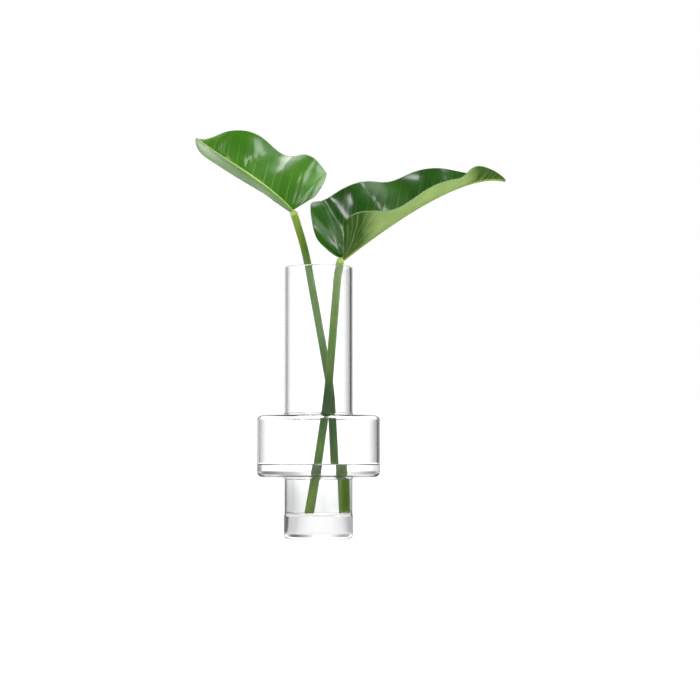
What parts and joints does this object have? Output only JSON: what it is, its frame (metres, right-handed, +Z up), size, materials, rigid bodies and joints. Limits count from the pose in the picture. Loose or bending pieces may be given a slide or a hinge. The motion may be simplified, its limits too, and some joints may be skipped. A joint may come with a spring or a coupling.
{
  "type": "stepped glass flower vase",
  "caption": "Clear stepped glass vase with a tall narrow neck, a wide low drum and a thick solid base, holding a little water and glossy cut leaves that lift out.",
  "frame": {"origin": "centre of the face that the base stands on", "axes": "+Z up along the axis of the vessel, -Y towards the viewer, +X to the viewer's right"},
  "size_m": [0.3508, 0.1678, 0.4597],
  "materials": {
    "glass": "clear, fire polished",
    "water": "clear liquid",
    "stalk": "satin, smooth green skin",
    "collar": "satin, pale yellow green",
    "midrib": "satin, pale yellow green",
    "blade": "waxy gloss above, paler satin below"
  },
  "bodies": {
    "vase": {"glass_vessel": "glass", "water": "water"},
    "left_leaf": {"left_stem": "stalk", "left_collar": "collar", "left_midrib": "midrib", "left_blade": "blade"},
    "right_leaf": {"right_stem": "stalk", "right_collar": "collar", "right_midrib": "midrib", "right_blade": "blade"}
  },
  "joints": [
    {"name": "left_lift", "type": "slide", "parent": "vase", "child": "left_leaf", "axis": [-0.0253, 0.0404, 0.9989], "range_m": [0, 0.285]},
    {"name": "right_lift", "type": "slide", "parent": "vase", "child": "right_leaf", "axis": [0, 0, 1], "range_m": [0, 0.285]}
  ]
}
